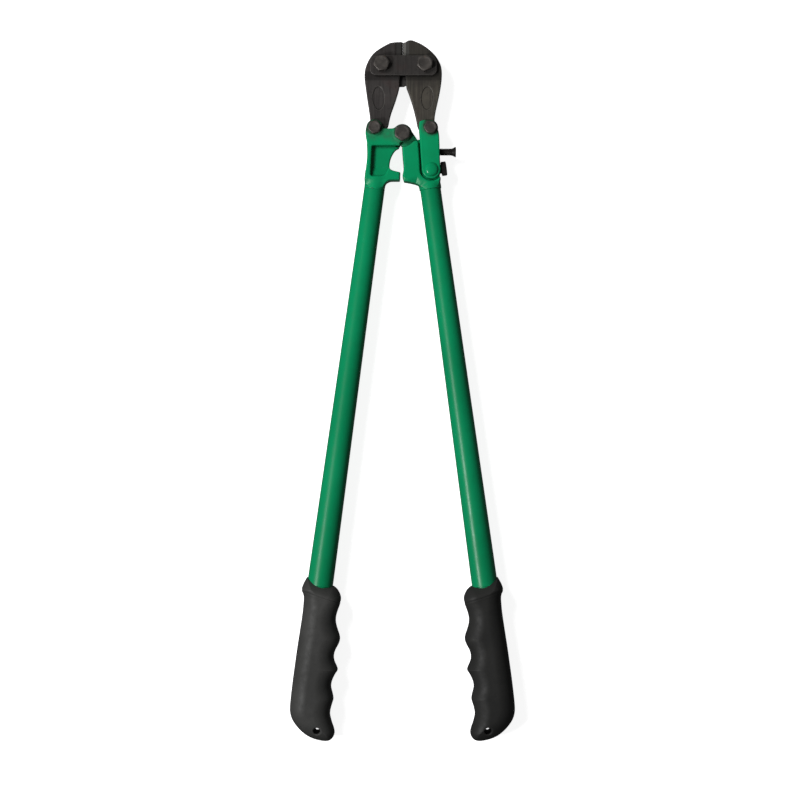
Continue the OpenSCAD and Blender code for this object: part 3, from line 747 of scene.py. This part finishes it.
def spring_washer(node, c, r, outer, z0, z1, cut):
    n, gap = 120, math.radians(7)
    e = 0.28
    section = [(r, z0 + e), (r + e, z0), (outer - e, z0), (outer, z0 + e), (outer, z1 - e), (outer - e, z1), (r + e, z1), (r, z1 - e)]
    co, faces = [], []
    for i in range(n + 1):
        a = math.radians(cut) + gap / 2 + (2 * math.pi - gap) * i / n
        co += [(q * math.cos(a), q * math.sin(a), z) for q, z in section]
    m = len(section)
    for i in range(n):
        for j in range(m):
            k = (j + 1) % m
            faces.append((i * m + j, i * m + k, (i + 1) * m + k, (i + 1) * m + j))
    faces += [tuple(range(m)), tuple(range(n * m, n * m + m))[::-1]]
    put(to_object("piece_" + node, place_at(c)(np.array(co)), faces, sharp=32), node, SLOT[node], OXIDE)

def stack(name, c, r, flats, head, seat, washer, nut_h, end, turns, pitch):
    bolt(name + "_bolt", c, r, flats, head, seat, end, turns[0], pitch)
    spring_washer(name + "_washer", c, r + 0.15, (8.2 if r > 4.5 else 7.0), -seat - washer, -seat, turns[2])
    nut(name + "_nut", c, r, flats, -seat - washer - nut_h, -seat - washer, turns[1])

stack("left_jaw", JL, 5, 16, 6.4, STRAP_TOP, 2.2, 5.8, -20, (8, 14, 140), 1.5)
stack("right_jaw", JR, 5, 16, 6.4, STRAP_TOP, 2.2, 5.8, -20, (22, 3, 40), 1.5)
stack("left_handle", TL, 4, 13, 5.3, HALF, 1.8, 5.2, -19, (12, 5, 200), 1.25)
stack("right_handle", TR, 4, 13, 5.3, HALF, 1.8, 5.2, -19, (2, 20, 320), 1.25)
stack("centre", CB, 5, 16, 6.4, HALF, 2.2, 5.6, -19.7, (25, 10, 80), 1.5)

# rivet: a set head on each side
dome = []
for a in np.linspace(90, 0, 30):
    a = math.radians(a)
    rr, zz = 7.7 * math.cos(a) ** 0.92, 3.6 * math.sin(a) ** 1.08
    dome.append((max(rr, 0.05), zz))
rings = [(r, HALF - 0.15 + z) for r, z in dome[1:]] + [(7.75, HALF - 0.6), (4.0, HALF - 0.6), (4.0, -HALF + 0.6), (7.75, -HALF + 0.6)] + [(r, -HALF + 0.15 - z) for r, z in dome[::-1][:-1]]
co, faces = revolve(rings)
put(to_object("piece_link_rivet", place_at(RV)(co), faces, sharp=50), "link_rivet", SLOT["link_rivet"], GREEN_RIVET)

def along_screw(p):                # x of the piece along the screw's own axis
    return flat(np.stack([p[:, 0], p[:, 1] + SCREW_Y, p[:, 2]], 1))

def adjusting_screw(x, y, z):
    rad = np.sqrt(y * y + z * z + 1e-9)
    th = np.arctan2(z, y) / (2 * math.pi)
    ph = (x / 1.25 - th) % 1
    cutaway = 0.62 * np.clip(np.abs(ph * 2 - 1) * 1.25 - 0.12, 0, 1) * step(55.0, 53.4, x)
    shank = np.maximum(rad - 3.98 + cutaway, np.maximum(22.65 - x, x - 57))
    shank = np.maximum(shank, rad - 3.0 - np.maximum(0, x - 22.6))
    flare = np.maximum(rad - (3.95 + np.clip(x - 55.2, 0, 2.6) * 0.62), np.maximum(54.8 - x, x - 58.95))
    f = smin(shank, flare, 0.4)
    f = smax(f, x - 58.9, 0.5)
    return smax(f, -np.maximum(np.abs(z) - 0.75, 57.3 - x), 0.2)

solid("adjusting_screw", adjusting_screw, (22.4, -5.8, -5.8), (59.2, 5.8, 5.8), 0.2, [OXIDE_DARK], along_screw)

def on_lock_axis(co):
    x, y, z = co[:, 0], co[:, 1], co[:, 2]
    return flat(np.stack([RV[0] + z * CS + y * -SN, RV[1] + z * SN + y * CS, -x], 1))

rings = [(7.4 * 0.36, 16.8), (7.4 * 0.66, 16.8), (7.4 * 0.72, 16.9), (7.4 * 0.78, 17.0), (7.4 * 0.88, 17.0)] + chamfered(14.8, 0, 17.0, 1)
hx = hexagon(14.8, 0)
rings += [(hx, 12.4), (hx, 11.6), (smin(hx, 7.9, 0.3), 11.5), (7.0, 11.45), (7.0, 11.2), (5.0, 11.2), (5.0, 10.4)]
rings += threads(5.0, 10.4, 5.3, 1.5, 0.8) + [(4.2, 4.5), (3.8, 4.4)]
co, faces = revolve(rings)
put(to_object("piece_lock_screw", on_lock_axis(co), faces, sharp=32), "lock_screw", SLOT["lock_screw"], OXIDE_DARK)

# ---------------------------------------------------------------------------
# Tubes
# ---------------------------------------------------------------------------
def tube_rings():
    out = [(9.7, 0.03), (11.1, 0.03), (11.3, 0.08), (11.38, 0.2)]
    def radius(s):
        if s < 56:
            return 11.4 + 0.1 * s / 56
        return 11.5 + 2.6 * (s - 56) / (GRIP_AT - 56) if s < GRIP_AT else 14.1 + 0.1 * min(1, (s - GRIP_AT) / 20)
    s = 1.0
    while s < GRIP_AT + 28:
        out.append((radius(s), s))
        s += 9.0
    out += [(14.2, GRIP_AT + 28), (13.4, GRIP_AT + 28.5), (13.4, 571), (11.4, 571), (11.4, GRIP_AT + 21)]
    s = GRIP_AT
    while s > 1:
        out.append((radius(s) - 2, s))
        s -= 60
    return out

for node, place in (("left_tube", left_handle), ("right_tube", right_handle)):
    co, faces = revolve(tube_rings(), 128, closed=True)
    put(to_object("piece_" + node, place(co), faces, sharp=40), node, SLOT[node], GREEN_TUBE)

# ---------------------------------------------------------------------------
# Grips: an outline in the plane of the tool, (distance down the tube, across it), swelled to an oval section
# ---------------------------------------------------------------------------
OUT = curve([(20.6, -15.2, 0), (23.5, -16.5), (27.5, -18.1), (31.5, -19.1), (34.6, -19.5), (37.0, -18.8), (39.5, -17.1), (43, -15.9), (52, -15.1),
    (63, -14.8), (82, -15.1), (102, -15.5), (122, -15.5), (135, -15.5), (152, -15.2), (163, -14.8), (170, -14.0), (177, -11.4),
    (183, -6.6), (188.7, -0.2), (193.3, 7.2), (195.9, 14.5), (197.0, 23), (196.9, 30), (195.2, 34.4), (191.5, 37.2), (186, 38.3),
    (180.4, 36.4), (175.5, 33.7), (171, 31.8), (167, 30.3), (163.5, 29.9), (159, 30.2), (154.5, 31.0), (149.3, 31.9), (145, 30.6),
    (140.4, 28.7), (136.2, 27.1), (131.5, 27.1), (127.2, 28.0), (121.6, 30.0), (117.2, 32.4), (113.5, 30.6), (109.8, 28.1),
    (105.2, 26.0), (101, 25.6), (97.0, 26.1), (93.4, 27.3), (89.5, 28.9), (85.5, 29.9), (81.5, 29.8), (77.5, 28.2), (73.5, 26.1), (69.5, 24.3),
    (65.5, 22.8), (61.3, 22.2), (57.5, 22.3), (53.5, 22.9), (49.5, 24.0), (45.0, 24.9), (40.5, 25.2), (37.0, 24.5), (34.0, 23.0),
    (31, 21.1), (28.5, 18.6), (26.7, 15.6, 0)], 2)
THICK = np.array([(15, 15.3), (23.6, 15.4), (28, 17.2), (32, 18.8), (35.6, 19.75), (38, 19.3), (42, 18.4), (50, 17.9), (61, 17.8), (82, 18.7), (100, 19.1), (120, 19.7), (148, 19.95),
    (165, 19.4), (180, 17.6), (190, 16.2), (200, 15.4)])
TS = np.linspace(10, 205, 400)
TH = np.interp(TS, THICK[:, 0], THICK[:, 1])
kern = np.exp(-0.5 * (np.arange(-8, 9) / 2.6) ** 2)
kern /= kern.sum()
TH = np.convolve(np.pad(TH, 8, mode="edge"), kern, mode="valid")

def grip(x, y, z):
    s = z - GRIP_AT
    d = poly(OUT, s, x)
    skew = 0.19 * (1 - step(44, 70, s))
    t = s - skew * x
    half = np.interp(t, TS, TH)
    r = np.minimum(half - 0.3, 15.2 + 2.8 * step(30, 60, t))
    f = ext(d, y, half, r) + 0.1
    # a step under the flange, where the collar was moulded on
    f = f + 0.28 * np.exp(-((t - 38.6) / 0.9) ** 2)
    # the parting line of the mould round the edge
    f = f - 0.16 * np.exp(-(y / 0.5) ** 2) * step(46, 52, t)
    # hanging hole, dished on both faces and drafted as the mould's pin was
    hole = 3.15 + 0.6 * np.clip(y / 16, -1, 1) - np.hypot(x - 18.5, s - 185)
    f = smax(f, hole, 2.0)
    f = np.maximum(f, hole)
    bore = np.sqrt(x * x + y * y + 1e-9)
    f = np.maximum(f, -np.maximum(bore - 13.5, s - 160.6))
    lip = np.maximum(bore - 14.35, s - 22.6)
    return np.maximum(f, -lip)

H3 = 0.62
for node, place, mir, rubber in (("left_grip", left_handle, False, RUBBER_L_LIT), ("right_grip", right_handle, True, RUBBER_R_SHADED)):
    solid(node, grip, (-20.5, -20.5, GRIP_AT + 16), (39.5, 20.5, GRIP_AT + 198.5), H3, [rubber], place, mir)

# ---------------------------------------------------------------------------
# Floor, light, camera
# ---------------------------------------------------------------------------
def floor():
    me = bpy.data.meshes.new("floor")
    me.from_pydata([(-4, -4, 0), (4, -4, 0), (4, 4, 0), (-4, 4, 0)], [], [(0, 1, 2, 3)])
    ob = bpy.data.objects.new("floor", me)
    bpy.context.scene.collection.objects.link(ob)
    k = Look("floor_paper")
    tone = k.mix(k.rescale(k.noise(6, 2), 0.3, 0.7), (0.90, 0.90, 0.90), (0.93, 0.93, 0.93))
    k.set(Base_Color=tone, Roughness=0.9)
    k.b.inputs["Specular IOR Level"].default_value = 0.1
    k.b.inputs["Emission Color"].default_value = (1, 1, 1, 1)
    k.b.inputs["Emission Strength"].default_value = 0.88
    me.materials.append(k.mat)
    ob.visible_diffuse = False
    ob.visible_glossy = False
    return ob
floor()

def area(name, loc, target, size, power, colour=(1, 1, 1)):
    li = bpy.data.lights.new(name, "AREA")
    li.shape = "DISK"
    li.size = size
    li.energy = power
    li.color = colour
    ob = bpy.data.objects.new(name, li)
    bpy.context.scene.collection.objects.link(ob)
    ob.location = loc
    d = np.array(target) - np.array(loc)
    from mathutils import Vector
    ob.rotation_euler = Vector(d).to_track_quat("-Z", "Y").to_euler()
    return ob

area("key", (-1.20, 0.95, 1.60), (0, 0.05, 0), 0.90, 32).visible_glossy = False
area("low", (-1.25, -0.45, 1.45), (0, 0.0, 0), 0.34, 15.5)
world = bpy.data.worlds.new("studio")
bpy.context.scene.world = world
world.use_nodes = True
bg = world.node_tree.nodes["Background"]
bg.inputs[0].default_value = (1, 1, 1, 1)
bg.inputs[1].default_value = 0.07

K = 1.1                                    # millimetres to a pixel of the 800 pixel frame, at the middle plane
cam = bpy.data.cameras.new("camera")
cam.lens, cam.sensor_width = 85, 36
co_ = bpy.data.objects.new("camera", cam)
bpy.context.scene.collection.objects.link(co_)
dist = K * 800 * 85 / 36
co_.location = ((400 - 402.4) * K * MM, (391.3 - 400) * K * MM, (ZC + dist) * MM)
co_.rotation_euler = (0, 0, 0)
cam.clip_end = 20
bpy.context.scene.camera = co_
bpy.context.scene.view_settings.view_transform = "Standard"
bpy.context.view_layer.update()
